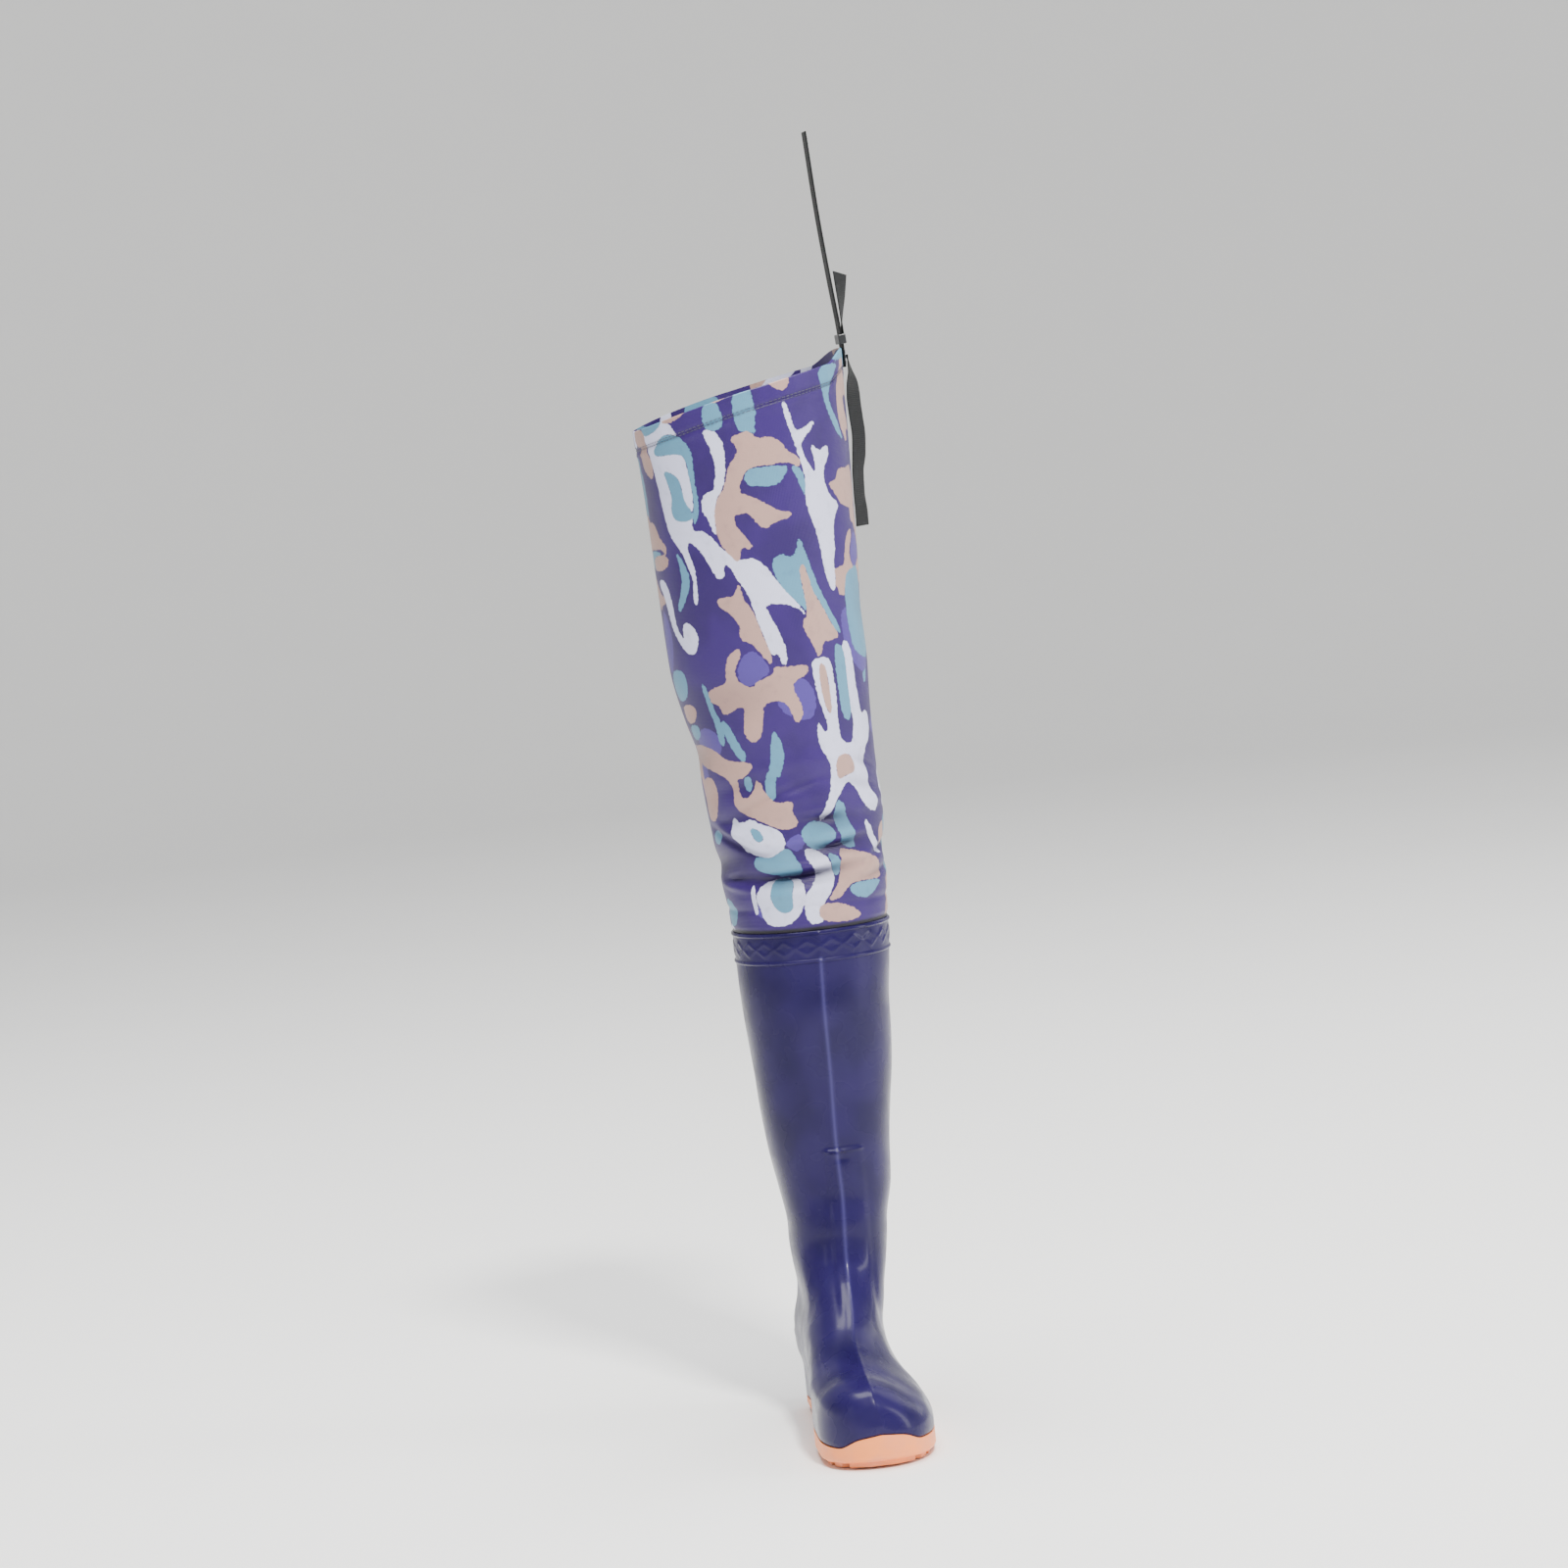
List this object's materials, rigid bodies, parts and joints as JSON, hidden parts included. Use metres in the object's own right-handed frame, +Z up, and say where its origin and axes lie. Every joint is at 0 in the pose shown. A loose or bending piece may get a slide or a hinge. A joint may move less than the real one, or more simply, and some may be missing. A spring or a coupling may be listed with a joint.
{
  "type": "hip wader",
  "caption": "Left hip wader: a moulded PVC knee boot with a waved sole edge, a camouflage fabric thigh shaft with a slanted hem, and a webbing belt strap with a slide, flap and hanging tail.",
  "frame": {"origin": "on the floor, at the middle of the heel bar of the sole under the ankle", "axes": "+Z up along the leg, -Y to the toe, +X to the outer side of the left leg"},
  "size_m": [0.1917, 0.3338, 1.045],
  "materials": {
    "boot_pvc": "glossy moulded PVC, dark navy violet",
    "sole_pvc": "satin moulded PVC, orange tan",
    "insole_foam": "cloth-faced foam",
    "coated_fabric": "coated woven fabric with a camouflage print",
    "strap_webbing": "dark woven webbing",
    "slide_plastic": "moulded black plastic"
  },
  "bodies": {
    "root": {"boot_upper": "boot_pvc", "outsole": "sole_pvc", "insole": "insole_foam", "thigh_shaft": "coated_fabric", "belt_strap": "strap_webbing", "strap_flap": "strap_webbing", "strap_tail": "strap_webbing", "strap_slide": "slide_plastic"}
  },
  "joints": []
}
